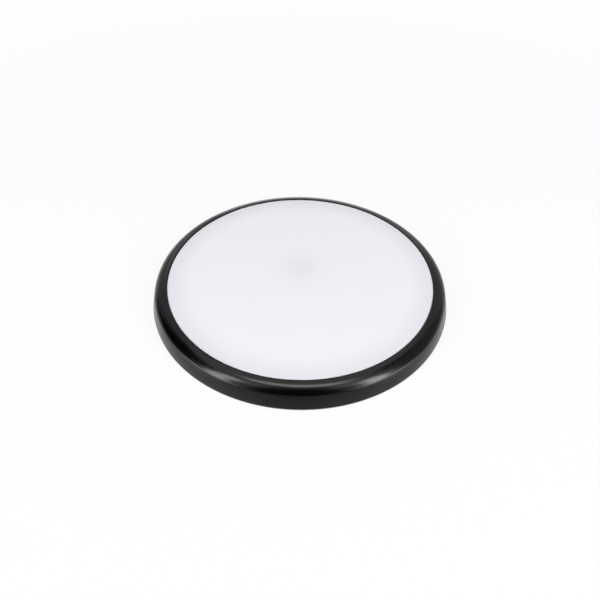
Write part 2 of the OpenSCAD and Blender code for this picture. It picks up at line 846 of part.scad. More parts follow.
// Lying can with a crimped end and two leads bent down to the board
module lying_can(p, size) {
    r = size[0] / 2;
    lead_r = 0.3;
    reach = 1.2;
    bevel = 0.5;
    crimp = 0.4;
    crimp_at = 1.4;
    translate([p[0], p[1] - size[1] / 2, pcb_top + r]) {
        rotate([-90, 0, 0]) rotate_extrude($fn = small_fn) polygon([
            [0, 0], [r - bevel, 0], [r, bevel], [r, crimp_at], [r - crimp, crimp_at + crimp],
            [r - crimp, crimp_at + 2 * crimp], [r, crimp_at + 3 * crimp],
            [r, size[1] - bevel], [r - bevel, size[1]], [0, size[1]]
        ]);
        for (x = [-1, 1]) translate([x * r / 2, 0, 0]) {
            translate([0, -reach, 0]) rotate([-90, 0, 0])
                cylinder(r = lead_r, h = reach + bevel, $fn = small_fn);
            translate([0, -reach, 0]) sphere(r = lead_r, $fn = small_fn);
            translate([0, -reach, -r]) cylinder(r = lead_r, h = r, $fn = small_fn);
        }
    }
}

module input_capacitor() {
    color("#26262b") lying_can(input_cap_at, input_cap * share);
}

module output_capacitor() {
    color("#26262b") lying_can(output_cap_at, output_cap * share);
}

module film_capacitor() {
    color("#d9c23a") chip_body(film_cap_at, shared(film_cap), 0.8);
}

// Standing disc with bevelled faces and two legs
module standing_disc(p, size) {
    r = size[0] / 2;
    half = size[1] / 2;
    bevel = 0.8;
    leg_r = 0.35;
    leg_x = 0.45 * r;
    stand = 0.8;
    translate([p[0], p[1], pcb_top]) {
        translate([0, 0, r + stand]) rotate([90, 0, 0]) rotate_extrude($fn = small_fn) polygon([
            [0, -half], [r - bevel, -half], [r, -half + bevel],
            [r, half - bevel], [r - bevel, half], [0, half]
        ]);
        for (x = [-leg_x, leg_x]) translate([x, 0, 0]) cylinder(r = leg_r, h = stand + r / 2, $fn = small_fn);
    }
}

module safety_capacitor() {
    color("#2f67a8") standing_disc(safety_cap_at, safety_cap * share);
}

module surge_absorber() {
    color("#3f8fbf") standing_disc(absorber_at, absorber * share);
}

// Drum with two flanges and the winding between them
module filter_choke() {
    r = choke[0] / 2 * share;
    rim = 1.1;
    waist = 0.6;
    color("#55585a") translate([choke_at[0], choke_at[1], pcb_top]) rotate_extrude($fn = small_fn) polygon([
        [0, 0], [r, 0], [r, rim], [r - waist, rim], [r - waist, choke[1] - rim], [r, choke[1] - rim],
        [r, choke[1]], [0, choke[1]]
    ]);
}

// Lying resistor body with its two leads bent down to the board
module fusible_resistor() {
    r = fuse[0] / 2 * share;
    half = fuse[1] / 2 * share;
    bevel = 0.45;
    waist = 0.2;
    cap_end = half - 1.8;
    lead_r = 0.3;
    reach = 1;
    color("#7d9a8a") translate([fuse_at[0], fuse_at[1], pcb_top + r]) {
        rotate([90, 0, 0]) rotate_extrude($fn = small_fn) polygon([
            [0, -half], [r - bevel, -half], [r, -half + bevel], [r, -cap_end], [r - waist, -cap_end + waist],
            [r - waist, cap_end - waist], [r, cap_end], [r, half - bevel], [r - bevel, half], [0, half]
        ]);
        for (s = [-1, 1]) {
            translate([0, s * half, 0]) rotate([s * -90, 0, 0])
                translate([0, 0, -bevel]) cylinder(r = lead_r, h = reach + bevel, $fn = small_fn);
            translate([0, s * (half + reach), 0]) sphere(r = lead_r, $fn = small_fn);
            translate([0, s * (half + reach), -r]) cylinder(r = lead_r, h = r, $fn = small_fn);
        }
    }
}

// Flat package with bent legs along both long sides
module legged_chip(p, size, legs, leg_w) {
    reach = 0.8;
    leg_t = 0.25;
    pitch = size[0] / legs;
    first = p[0] - (legs - 1) * pitch / 2;
    chip_body(p, size);
    for (i = [0:legs - 1])
        translate([first + i * pitch - leg_w / 2, p[1] - size[1] / 2 - reach, pcb_top])
            cube([leg_w, size[1] + 2 * reach, leg_t]);
}

module bridge_rectifier() {
    color("#2a2a2a") legged_chip(bridge_at, shared(bridge), 2, 0.8);
}

module driver_chip() {
    color("#2a2a2a") legged_chip(chip_at, shared(chip), 4, 0.45);
}

module output_diode() {
    color("#2a2a2a") legged_chip(diode_at, shared(diode), 1, 3);
}

// Side-entry connector: a box that is open towards the leads
module driver_connector() {
    color("#efece0") rotate(lead_a) translate([header_at, -header[1] / 2, pcb_top]) difference() {
        cube(header);
        translate([header[0] - plug_in, header_wall, header_wall])
            cube([plug_in + over, header[1] - 2 * header_wall, header[2] - 2 * header_wall]);
    }
}

module lead_plug() {
    width = header[1] - 2 * header_wall;
    height = header[2] - 2 * header_wall;
    color("#f3f1ea") rotate(lead_a)
        translate([header_at + header[0] - plug_in, -width / 2, pcb_top + header_wall])
            cube([plug_in + plug_out, width, height]);
}

module board_connector() {
    color("#f3f1ea") rotate(lead_a) translate([socket_at, -socket[1] / 2, board_top]) cube(socket);
}

// Direction of a route at point i, from its neighbours; the ends keep their first and last stretch
function heading(route, i) =
    let (a = route[max(0, i - 1)], b = route[min(len(route) - 1, i + 1)]) (b - a) / norm(b - a);

// Round tube along a route in the plane at height y across
module lead(route, y, d, sides = 8) {
    count = len(route);
    points = [for (i = [0:count - 1], k = [0:sides - 1])
        let (t = heading(route, i), a = 360 * k / sides, u = d / 2 * cos(a), v = d / 2 * sin(a))
        [route[i][0] - t[1] * u, y + v, route[i][1] + t[0] * u]];
    walls = [for (i = [0:count - 2], k = [0:sides - 1])
        let (n = (k + 1) % sides)
        [i * sides + k, i * sides + n, (i + 1) * sides + n, (i + 1) * sides + k]];
    first = [for (k = [sides - 1:-1:0]) k];
    last = [for (k = [0:sides - 1]) (count - 1) * sides + k];
    rotate(lead_a) polyhedron(points = points, faces = concat([first], walls, [last]), convexity = 4);
}

module lead_red() {
    color("#b3261e") lead(lead_route, lead_pitch / 2, lead_d);
}

module lead_black() {
    color("#1a1a1a") lead(lead_route, -lead_pitch / 2, lead_d);
}

trim_ring();
diffuser();
base();
cover_seal();
cable_grommet();
led_board();
leds();
led_lenses();
led_board_screws();
driver_cover();
driver_cover_screws();
driver_board();
driver_board_screws();
terminal_block();
terminal_screws();
transformer_core();
transformer_bobbin();
transformer_winding();
input_capacitor();
output_capacitor();
film_capacitor();
safety_capacitor();
filter_choke();
fusible_resistor();
surge_absorber();
bridge_rectifier();
driver_chip();
output_diode();
driver_connector();
lead_plug();
board_connector();
lead_red();
lead_black();
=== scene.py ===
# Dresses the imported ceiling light: smooth mouldings over the plain solids, finishes and a pale studio.

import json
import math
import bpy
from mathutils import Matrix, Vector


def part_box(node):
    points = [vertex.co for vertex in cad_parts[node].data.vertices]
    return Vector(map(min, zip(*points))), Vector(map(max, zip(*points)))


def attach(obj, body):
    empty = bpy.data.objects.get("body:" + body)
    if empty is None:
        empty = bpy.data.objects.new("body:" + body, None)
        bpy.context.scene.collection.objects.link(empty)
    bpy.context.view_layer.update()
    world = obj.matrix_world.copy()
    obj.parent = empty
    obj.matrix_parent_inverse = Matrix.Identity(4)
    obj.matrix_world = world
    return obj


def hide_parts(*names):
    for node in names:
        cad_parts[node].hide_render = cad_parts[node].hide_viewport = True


bl_info = {
    "name": "Slim Round Ceiling Light",
    "version": (1, 0, 0),
    "blender": (4, 5, 0),
    "location": "3D View > Sidebar > Ceiling Light",
    "description": "Builds a slim round ceiling light with its finishes and a studio",
    "category": "Mesh",
}

import bpy
from bpy.props import FloatProperty, FloatVectorProperty, IntProperty, PointerProperty
from bpy.types import Operator, Panel, PropertyGroup
from mathutils import Matrix, Vector

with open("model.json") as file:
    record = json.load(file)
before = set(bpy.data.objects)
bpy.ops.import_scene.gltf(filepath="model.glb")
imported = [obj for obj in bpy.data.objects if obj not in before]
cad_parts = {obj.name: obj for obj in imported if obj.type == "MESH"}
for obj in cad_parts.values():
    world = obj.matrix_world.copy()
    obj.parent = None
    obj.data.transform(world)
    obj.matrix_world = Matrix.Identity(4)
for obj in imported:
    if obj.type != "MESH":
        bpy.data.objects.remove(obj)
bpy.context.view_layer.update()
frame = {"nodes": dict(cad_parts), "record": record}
MM = 0.001

RING_LOW, RING_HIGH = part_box("trim_ring")
PANEL_LOW, PANEL_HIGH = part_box("diffuser")
BASE_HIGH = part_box("base")[1]
BUSH_LOW, BUSH_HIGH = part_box("cable_grommet")


# Sizes and colours

class RingSizes(PropertyGroup):
    """Sizes of the black ring."""

    outer_radius: FloatProperty(
        name="Outer radius", description="Radius of the ring at its lower edge",
        default=RING_HIGH.x, unit="LENGTH",
    )
    opening_radius: FloatProperty(
        name="Opening radius", description="Radius of the opening that shows the diffuser",
        default=133.8 * MM, unit="LENGTH",
    )
    shoulder_radius: FloatProperty(
        name="Shoulder radius", description="Radius of the rounded top of the bezel",
        default=16 * MM, unit="LENGTH",
    )
    corner_radius: FloatProperty(
        name="Corner radius", description="Radius of the tighter round between top and side",
        default=8 * MM, unit="LENGTH",
    )
    meet_angle: FloatProperty(
        name="Meeting slope", description="Slope of the surface where the two rounds meet",
        default=math.radians(55), subtype="ANGLE",
    )
    lean: FloatProperty(
        name="Lean of the side", description="Lean of the side from upright",
        default=math.radians(14), subtype="ANGLE",
    )
    wall: FloatProperty(
        name="Wall", description="Thickness of the ring's wall", default=2 * MM, unit="LENGTH",
    )
    lip: FloatProperty(
        name="Lip", description="Thickness of the lip over the diffuser's flange",
        default=2.2 * MM, unit="LENGTH",
    )
    pocket_radius: FloatProperty(
        name="Pocket radius", description="Radius of the seat for the diffuser's flange",
        default=138.6 * MM, unit="LENGTH",
    )
    ribs: IntProperty(name="Ribs", description="Number of stiffening ribs inside", default=24)
    hooks: IntProperty(name="Hooks", description="Number of snap hooks", default=8)
    lugs: IntProperty(name="Lugs", description="Number of lugs of the twist lock", default=4)


class PanelSizes(PropertyGroup):
    """Sizes of the opal diffuser."""

    radius: FloatProperty(
        name="Radius", description="Radius of the part that stands in the opening",
        default=133.55 * MM, unit="LENGTH",
    )
    rim_height: FloatProperty(
        name="Rim height", description="Height of the diffuser at its edge",
        default=21.1 * MM, unit="LENGTH",
    )
    crown: FloatProperty(
        name="Crown", description="Rise of the diffuser towards its centre",
        default=0.8 * MM, unit="LENGTH",
    )
    edge_round: FloatProperty(
        name="Edge round", description="Radius of the round along the edge",
        default=0.8 * MM, unit="LENGTH",
    )
    thickness: FloatProperty(
        name="Thickness", description="Thickness of the sheet", default=1.5 * MM, unit="LENGTH",
    )


class BaseSizes(PropertyGroup):
    """Sizes of the base that screws to the ceiling."""

    rim_radius: FloatProperty(
        name="Rim radius", description="Outer radius of the upright rim",
        default=136.2 * MM, unit="LENGTH",
    )
    rim: FloatProperty(
        name="Rim", description="Thickness of the upright rim", default=1.8 * MM, unit="LENGTH",
    )
    foot: FloatProperty(
        name="Foot", description="Width of the rim's foot on the ceiling",
        default=3.6 * MM, unit="LENGTH",
    )
    hollow: FloatProperty(
        name="Hollow", description="Depth of the hollow behind the floor",
        default=2 * MM, unit="LENGTH",
    )
    floor: FloatProperty(
        name="Floor", description="Thickness of the floor", default=2 * MM, unit="LENGTH",
    )
    hub_radius: FloatProperty(
        name="Hub radius", description="Outer radius of the small ring behind the driver",
        default=45 * MM, unit="LENGTH",
    )
    ribs: IntProperty(name="Ribs", description="Number of ribs behind the floor", default=12)
    hole_circle: FloatProperty(
        name="Hole circle", description="Radius of the circle of ceiling screw holes",
        default=129 * MM, unit="LENGTH",
    )
    holes: IntProperty(name="Holes", description="Number of ceiling screw holes", default=4)


class FinishColours(PropertyGroup):
    """Colours of the finishes that show."""

    ring: FloatVectorProperty(
        name="Ring", description="Black of the ring", subtype="COLOR", size=3,
        default=(0.0008, 0.0010, 0.0009),
    )
    panel: FloatVectorProperty(
        name="Diffuser", description="White of the diffuser", subtype="COLOR", size=3,
        default=(0.860, 0.870, 0.915),
    )
    base: FloatVectorProperty(
        name="Base", description="White of the base", subtype="COLOR", size=3,
        default=(0.76, 0.76, 0.74),
    )
    rubber: FloatVectorProperty(
        name="Bush", description="Black of the cable bush", subtype="COLOR", size=3,
        default=(0.012, 0.012, 0.012),
    )


class StudioSetup(PropertyGroup):
    """Camera and lamps."""

    elevation: FloatProperty(
        name="Elevation", description="Height of the camera above the horizon",
        default=math.radians(41.80), subtype="ANGLE",
    )
    distance: FloatProperty(
        name="Distance", description="Distance of the camera from the middle of the front",
        default=602.1 * MM, unit="LENGTH",
    )
    tilt: FloatProperty(
        name="Tilt", description="How far the camera looks below the middle of the front",
        default=math.radians(2.39), subtype="ANGLE",
    )
    roll: FloatProperty(
        name="Roll", description="Roll of the camera", default=math.radians(0.86), subtype="ANGLE",
    )
    lens: FloatProperty(name="Lens", description="Focal length in mm", default=35.52)
    overhead: FloatProperty(
        name="Overhead", description="Brightness of the lamp overhead", default=5.0,
    )
    left: FloatProperty(
        name="Left strip", description="Brightness of the left strip", default=7.6,
    )
    right: FloatProperty(
        name="Right strip", description="Brightness of the right strip", default=8.8,
    )
    glow: FloatProperty(
        name="Glow", description="Brightness of the wide glow round each strip", default=0.7,
    )
    far: FloatProperty(
        name="Far lamp", description="Brightness of the low lamp behind the light", default=1.1,
    )
    under: FloatProperty(
        name="Under lamp", description="Brightness of the lamp for views from behind", default=4.4,
    )


# Modelling by hand

def clear_selection():
    """Goes to object mode with nothing selected."""
    if bpy.context.object and bpy.context.object.mode != "OBJECT":
        bpy.ops.object.mode_set(mode="OBJECT")
    bpy.ops.object.select_all(action="DESELECT")


def choose(*pieces):
    """Selects only these pieces and makes the first one active."""
    clear_selection()
    for piece in pieces:
        piece.select_set(True)
    bpy.context.view_layer.objects.active = pieces[0]


def arc(centre, radius, start, end, steps):
    """Points of an arc from angle start to angle end."""
    turns = [start + (end - start) * i / steps for i in range(steps + 1)]
    return [(centre[0] + radius * math.cos(a), centre[1] + radius * math.sin(a)) for a in turns]


def rounded(corners, steps=3, closed=True):
    """An outline through corners (radius, height, rounding), each corner turned into a small arc."""
    outline = []
    count = len(corners)
    for i, (x, z, rounding) in enumerate(corners):
        at_end = not closed and i in (0, count - 1)
        if rounding == 0 or at_end:
            outline.append((x, z))
            continue
        here = Vector((x, z))
        before = (Vector(corners[i - 1][:2]) - here).normalized()
        after = (Vector(corners[(i + 1) % count][:2]) - here).normalized()
        half = before.angle(after) / 2
        middle = here + (before + after).normalized() * (rounding / math.sin(half))
        first = here + before * (rounding / math.tan(half)) - middle
        last = here + after * (rounding / math.tan(half)) - middle
        start = math.atan2(first.y, first.x)
        sweep = math.atan2(last.y, last.x) - start
        sweep = (sweep + math.pi) % math.tau - math.pi
        outline += arc(middle, rounding, start, start + sweep, steps)
    if closed:
        outline.append(outline[0])
    return outline


def sharp(corners, unit=1.0):
    """A closed outline with straight sides and sharp corners (radius, height)."""
    outline = [(radius * unit, height * unit) for radius, height in corners]
    return [*outline, outline[0]]


def draw_outline(name, outline):
    """Starts a piece with one vertex and draws the outline by extruding it, in the plane y = 0."""
    clear_selection()
    bpy.ops.mesh.primitive_plane_add(size=MM)
    piece = bpy.context.object
    piece.name = name
    piece.data.name = name
    bpy.ops.object.mode_set(mode="EDIT")
    bpy.ops.mesh.select_all(action="SELECT")
    bpy.ops.mesh.merge(type="CENTER")
    bpy.ops.transform.translate(value=(outline[0][0], 0, outline[0][1]))
    for (x0, z0), (x1, z1) in zip(outline, outline[1:]):
        bpy.ops.mesh.extrude_vertices_move(TRANSFORM_OT_translate={"value": (x1 - x0, 0, z1 - z0)})
    bpy.ops.mesh.select_all(action="SELECT")
    bpy.ops.mesh.remove_doubles(threshold=0.001 * MM)
    return piece


def close_mesh():
    """Merges doubles, turns the faces outwards and leaves edit mode."""
    bpy.ops.mesh.select_all(action="SELECT")
    bpy.ops.mesh.remove_doubles(threshold=0.002 * MM)
    bpy.ops.mesh.normals_make_consistent(inside=False)
    bpy.ops.object.mode_set(mode="OBJECT")


def turned(name, outline, steps=240, at=(0, 0)):
    """A turned piece: its outline spun all the way round an upright axis."""
    piece = draw_outline(name, outline)
    bpy.ops.mesh.spin(steps=steps, angle=math.tau, center=(0, 0, 0), axis=(0, 0, 1))
    close_mesh()
    if at != (0, 0):
        bpy.ops.transform.translate(value=(at[0], at[1], 0))
        bpy.ops.object.transform_apply(location=True, rotation=False, scale=False)
    return piece


def segment(name, outline, start, width, steps=6):
    """A closed outline filled and spun over part of a turn, such as a lug."""
    piece = draw_outline(name, outline)
    bpy.ops.mesh.edge_face_add()
    # With no window, spin turns backwards
    bpy.ops.mesh.spin(steps=steps, angle=-width, center=(0, 0, 0), axis=(0, 0, 1))
    close_mesh()
    turn(piece, start)
    return piece


def plate(name, outline, thickness):
    """A closed outline filled and extruded to both sides of the plane y = 0, such as a rib."""
    piece = draw_outline(name, outline)
    bpy.ops.mesh.edge_face_add()
    bpy.ops.transform.translate(value=(0, -thickness / 2, 0))
    bpy.ops.mesh.extrude_region_move(TRANSFORM_OT_translate={"value": (0, thickness, 0)})
    close_mesh()
    return piece


def turn(piece, angle):
    """Turns a piece about the upright axis through the origin, in its mesh."""
    piece.data.transform(Matrix.Rotation(angle, 4, "Z"))


def ring_of(piece, count, start=0.0):
    """Copies a piece round the axis, each copy with its own mesh, and returns them all."""
    copies = []
    for i in range(count):
        choose(piece)
        bpy.ops.object.duplicate(linked=False)
        copy = bpy.context.object
        turn(copy, start + math.tau * i / count)
        copies.append(copy)
    bpy.data.objects.remove(piece)
    return copies


def join(whole, parts):
    """Joins the parts to the first piece."""
    choose(whole, *parts)
    bpy.ops.object.join()
    return whole


def bevel(piece, width, segments=2, angle=40):
    """Rounds the edges that are sharper than an angle."""
    choose(piece)
    modifier = piece.modifiers.new("Rounded edges", "BEVEL")
    modifier.width = width
    modifier.segments = segments
    modifier.limit_method = "ANGLE"
    modifier.angle_limit = math.radians(angle)
    bpy.ops.object.modifier_apply(modifier=modifier.name)


def drill(piece, places, radius):
    """Cuts upright round holes through a piece."""
    for x, y in places:
        clear_selection()
        bpy.ops.mesh.primitive_cylinder_add(vertices=48, radius=radius, depth=40 * MM, location=(x, y, 0))
        cutter = bpy.context.object
        choose(piece)
        modifier = piece.modifiers.new("Hole", "BOOLEAN")
        modifier.operation = "DIFFERENCE"
        modifier.solver = "EXACT"
        modifier.object = cutter
        bpy.ops.object.modifier_apply(modifier=modifier.name)
        bpy.data.objects.remove(cutter)


def finish_piece(piece, body, material, angle=30):
    """Shades a piece, gives it its finish and lets it ride on its body."""
    choose(piece)
    bpy.ops.object.shade_smooth_by_angle(angle=math.radians(angle))
    piece.data.materials.clear()
    piece.data.materials.append(material)
    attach(piece, body)
    return piece


# Finishes

def new_group(name, inputs, outputs):
    """A shader node group with named sockets: inputs are (name, kind, default), outputs (name, kind)."""
    group = bpy.data.node_groups.new(name, "ShaderNodeTree")
    for socket, kind, default in inputs:
        made = group.interface.new_socket(socket, in_out="INPUT", socket_type=kind)
        if default is not None:
            made.default_value = default
    for socket, kind in outputs:
        group.interface.new_socket(socket, in_out="OUTPUT", socket_type=kind)
    group.nodes.new("NodeGroupInput").name = "In"
    group.nodes.new("NodeGroupOutput").name = "Out"
    return group


def math_node(nodes, operation, first=None, second=None):
    """A maths node with its fixed values set."""
    node = nodes.new("ShaderNodeMath")
    node.operation = operation
    for socket, value in zip(node.inputs, (first, second)):
        if value is not None:
            socket.default_value = value
    return node


def grain_group():
    """Fine moulded grain: two sizes of noise, as a height and as a small shift."""
    group = new_group(
        "Moulded grain",
        [("Vector", "NodeSocketVector", None), ("Per metre", "NodeSocketFloat", 2500.0)],
        [("Height", "NodeSocketFloat"), ("Shift", "NodeSocketFloat")],
    )
    nodes, links = group.nodes, group.links
    fine = nodes.new("ShaderNodeTexNoise")
    fine.inputs["Detail"].default_value = 2.0
    fine.inputs["Roughness"].default_value = 0.6
    pits = nodes.new("ShaderNodeTexVoronoi")
    pits.feature = "SMOOTH_F1"
    half = math_node(nodes, "MULTIPLY", second=0.5)
    both = math_node(nodes, "ADD")
    shift = math_node(nodes, "SUBTRACT", second=0.75)
    source = nodes["In"].outputs
    links.new(source["Vector"], fine.inputs["Vector"])
    links.new(source["Vector"], pits.inputs["Vector"])
    links.new(source["Per metre"], fine.inputs["Scale"])
    links.new(source["Per metre"], half.inputs[0])
    links.new(half.outputs[0], pits.inputs["Scale"])
    links.new(fine.outputs["Fac"], both.inputs[0])
    links.new(pits.outputs["Distance"], both.inputs[1])
    links.new(both.outputs[0], shift.inputs[0])
    links.new(both.outputs[0], nodes["Out"].inputs["Height"])
    links.new(shift.outputs[0], nodes["Out"].inputs["Shift"])


def drift_group():
    """Slow change over the surface: a value that wanders between low and high."""
    group = new_group(
        "Slow drift",
        [
            ("Vector", "NodeSocketVector", None), ("Per metre", "NodeSocketFloat", 20.0),
            ("Low", "NodeSocketFloat", 0.0), ("High", "NodeSocketFloat", 1.0),
        ],
        [("Value", "NodeSocketFloat")],
    )
    nodes, links = group.nodes, group.links
    noise = nodes.new("ShaderNodeTexNoise")
    noise.inputs["Detail"].default_value = 3.0
    spread = nodes.new("ShaderNodeMapRange")
    spread.inputs["From Min"].default_value = 0.3
    spread.inputs["From Max"].default_value = 0.7
    source = nodes["In"].outputs
    links.new(source["Vector"], noise.inputs["Vector"])
    links.new(source["Per metre"], noise.inputs["Scale"])
    links.new(noise.outputs["Fac"], spread.inputs["Value"])
    links.new(source["Low"], spread.inputs["To Min"])
    links.new(source["High"], spread.inputs["To Max"])
    links.new(spread.outputs["Result"], nodes["Out"].inputs["Value"])


def distance_group():
    """Mask that falls from 1 to 0 between two distances from an upright axis."""
    group = new_group(
        "Round mask",
        [
            ("Vector", "NodeSocketVector", None), ("Centre", "NodeSocketVector", None),
            ("Full", "NodeSocketFloat", 0.0), ("None", "NodeSocketFloat", 1.0),
        ],
        [("Mask", "NodeSocketFloat")],
    )
    nodes, links = group.nodes, group.links
    offset = nodes.new("ShaderNodeVectorMath")
    offset.operation = "SUBTRACT"
    flat = nodes.new("ShaderNodeVectorMath")
    flat.operation = "MULTIPLY"
    flat.inputs[1].default_value = (1, 1, 0)
    length = nodes.new("ShaderNodeVectorMath")
    length.operation = "LENGTH"
    fall = nodes.new("ShaderNodeMapRange")
    fall.interpolation_type = "SMOOTHSTEP"
    fall.inputs["To Min"].default_value = 1.0
    fall.inputs["To Max"].default_value = 0.0
    source = nodes["In"].outputs
    links.new(source["Vector"], offset.inputs[0])
    links.new(source["Centre"], offset.inputs[1])
    links.new(offset.outputs[0], flat.inputs[0])
    links.new(flat.outputs[0], length.inputs[0])
    links.new(length.outputs["Value"], fall.inputs["Value"])
    links.new(source["Full"], fall.inputs["From Min"])
    links.new(source["None"], fall.inputs["From Max"])
    links.new(fall.outputs["Result"], nodes["Out"].inputs["Mask"])


def group_node(material, group_name, **values):
    """Places a shared group in a material, fed with Object coordinates."""
    nodes, links = material.node_tree.nodes, material.node_tree.links
    node = nodes.new("ShaderNodeGroup")
    node.node_tree = bpy.data.node_groups[group_name]
    links.new(nodes["Place"].outputs["Object"], node.inputs["Vector"])
    for name, value in values.items():
        node.inputs[name.replace("_", " ")].default_value = value
    return node


def round_mask(material, full, none, centre=(0, 0, 0)):
    """A mask that is 1 up to one distance from an upright axis and 0 beyond another."""
    node = group_node(material, "Round mask", Centre=centre, Full=full)
    node.inputs["None"].default_value = none
    return node.outputs["Mask"]


def between(tree, factor, low, high):
    """A number that goes from low to high with a factor. Either end may be another node's output."""
    node = tree.nodes.new("ShaderNodeMapRange")
    for socket, end in (("To Min", low), ("To Max", high)):
        if isinstance(end, float):
            node.inputs[socket].default_value = end
        else:
            tree.links.new(end, node.inputs[socket])
    tree.links.new(factor, node.inputs["Value"])
    return node.outputs["Result"]


def new_material(name):
    """A material with a Principled shader and a source of Object coordinates."""
    material = bpy.data.materials.new(name)
    material.use_nodes = True
    nodes = material.node_tree.nodes
    nodes.new("ShaderNodeTexCoord").name = "Place"
    return material, nodes["Principled BSDF"]


def tone_between(material, shader, dark, light, factor):
    """Feeds the base colour with a mix of two colours."""
    nodes, links = material.node_tree.nodes, material.node_tree.links
    mix = nodes.new("ShaderNodeMix")
    mix.data_type = "RGBA"
    mix.inputs["A"].default_value = (*dark, 1)
    mix.inputs["B"].default_value = (*light, 1)
    links.new(factor, mix.inputs["Factor"])
    links.new(mix.outputs["Result"], shader.inputs["Base Color"])
    return mix


def bump_from(material, shader, height, strength, depth):
    """Feeds the normal with a bump of a given depth."""
    nodes, links = material.node_tree.nodes, material.node_tree.links
    bump = nodes.new("ShaderNodeBump")
    bump.inputs["Strength"].default_value = strength
    bump.inputs["Distance"].default_value = depth
    links.new(height, bump.inputs["Height"])
    links.new(bump.outputs["Normal"], shader.inputs["Normal"])


def scaled(colour, factor):
    """A colour made lighter or darker."""
    return tuple(min(1.0, c * factor) for c in colour)


def moulded(
    name, colour, roughness, spread=0.03, grain=2500.0, depth=0.02, tone=0.06, metallic=0.0, specular=0.5,
):
    """Plain moulded, cast or plated finish: tone drift, uneven gloss and a fine grain, its depth in mm."""
    material, shader = new_material(name)
    links = material.node_tree.links
    shader.inputs["Metallic"].default_value = metallic
    shader.inputs["Specular IOR Level"].default_value = specular
    drift = group_node(material, "Slow drift", Per_metre=35.0, Low=0.0, High=1.0)
    tone_between(material, shader, scaled(colour, 1 - tone), scaled(colour, 1 + tone), drift.outputs["Value"])
    low, high = roughness - spread, roughness + spread
    gloss = group_node(material, "Slow drift", Per_metre=120.0, Low=low, High=high)
    links.new(gloss.outputs["Value"], shader.inputs["Roughness"])
    texture = group_node(material, "Moulded grain", Per_metre=grain)
    bump_from(material, shader, texture.outputs["Height"], 1.0, depth * MM)
    return material


# Distances in metres over which the opal's middle tone ends and its painted edge shade comes in, and the tone
# of that painted shade along the edge
OPAL_SHADE_RADII = (0.104, 0.142)
OPAL_PAINTED_EDGE_TONE = 0.86
# The driver's faint shade, painted into the opal's colour: its middle, and for each layer the distances over
# which it ends and its tone
DRIVER_MIDDLE = (0, 0.0105, 0)
DRIVER_SHADES = ((0.012, 0.040, 0.970), (0.008, 0.018, 0.968))


def opal(name, colour):
    """Opal diffuser: paler middle, a greyer band of painted shade along its edge by the ring, and the
    driver's faint shade painted in.
    """
    material, shader = new_material(name)
    nodes, links = material.node_tree.nodes, material.node_tree.links
    # Painted shade: the opal's colour turns greyer along its edge, next to the ring
    inner = round_mask(material, *OPAL_SHADE_RADII)
    body = tone_between(material, shader, scaled(colour, OPAL_PAINTED_EDGE_TONE), colour, inner)
    # Painted shade: the opal's colour is darker where the driver sits behind it
    for full, none, factor in DRIVER_SHADES:
        darker = nodes.new("ShaderNodeMix")
        darker.data_type = "RGBA"
        darker.blend_type = "MULTIPLY"
        darker.inputs["B"].default_value = (factor, factor, factor, 1)
        links.new(body.outputs["Result"], darker.inputs["A"])
        links.new(round_mask(material, full, none, DRIVER_MIDDLE), darker.inputs["Factor"])
        body = darker
    links.new(body.outputs["Result"], shader.inputs["Base Color"])
    gloss = group_node(material, "Slow drift", Per_metre=60.0, Low=0.42, High=0.50)
    links.new(gloss.outputs["Value"], shader.inputs["Roughness"])
    shader.inputs["Specular IOR Level"].default_value = 0.35
    texture = group_node(material, "Moulded grain", Per_metre=1800.0)
    bump_from(material, shader, texture.outputs["Height"], 1.0, 0.006 * MM)
    return material


# Finish of each slot inside the light: colour, roughness, grain per metre, grain depth in mm, metallic
INNER_FINISHES = {
    "seal_grey": ((0.57, 0.57, 0.54), 0.62, 1200, 0.03, 0.0),
    "board_white": ((0.85, 0.85, 0.81), 0.38, 900, 0.01, 0.0),
    "led_yellow": ((0.85, 0.66, 0.13), 0.25, 3000, 0.01, 0.0),
    "lens_clear": ((0.71, 0.79, 0.83), 0.10, 600, 0.004, 0.0),
    "screw_steel": ((0.45, 0.46, 0.49), 0.32, 5000, 0.01, 1.0),
    "cover_white": ((0.87, 0.87, 0.85), 0.50, 2200, 0.02, 0.0),
    "circuit_green": ((0.033, 0.160, 0.055), 0.30, 1500, 0.01, 0.0),
    "terminal_cream": ((0.73, 0.71, 0.60), 0.45, 2500, 0.02, 0.0),
    "screw_brass": ((0.54, 0.39, 0.12), 0.30, 5000, 0.01, 1.0),
    "ferrite": ((0.051, 0.051, 0.055), 0.55, 2600, 0.03, 0.0),
    "bobbin_black": ((0.022, 0.022, 0.022), 0.45, 2500, 0.02, 0.0),
    "tape_yellow": ((0.60, 0.39, 0.033), 0.25, 700, 0.02, 0.0),
    "can_black": ((0.010, 0.010, 0.013), 0.28, 900, 0.01, 0.0),
    "film_yellow": ((0.60, 0.48, 0.033), 0.35, 2000, 0.02, 0.0),
    "disc_blue": ((0.022, 0.107, 0.319), 0.30, 1500, 0.03, 0.0),
    "choke_grey": ((0.073, 0.078, 0.084), 0.50, 1800, 0.03, 0.0),
    "resistor_green": ((0.17, 0.27, 0.21), 0.35, 2500, 0.02, 0.0),
    "package_black": ((0.015, 0.015, 0.015), 0.50, 4000, 0.02, 0.0),
    "connector_white": ((0.85, 0.83, 0.73), 0.42, 2500, 0.02, 0.0),
    "lead_red": ((0.34, 0.010, 0.007), 0.40, 2000, 0.01, 0.0),
    "lead_black": ((0.007, 0.007, 0.007), 0.40, 2000, 0.01, 0.0),
}


# Corners of small mouldings, as (radius, height) in mm
HOOK = ((137.4, 17.7), (137.4, 16.9), (139.2, 15.1), (144.2, 15.1), (142.9, 17.7))
LUG = ((137.4, 4.2), (148.2, 4.2), (147.0, 9.0), (144.0, 9.0), (144.0, 6.3), (137.4, 6.3))
LEDGE = ((135.3, 6.6), (142.7, 6.6), (142.7, 8.4), (135.3, 8.4))
STOP = ((135.3, 3.1), (142.7, 3.1), (142.7, 8.4), (135.3, 8.4))
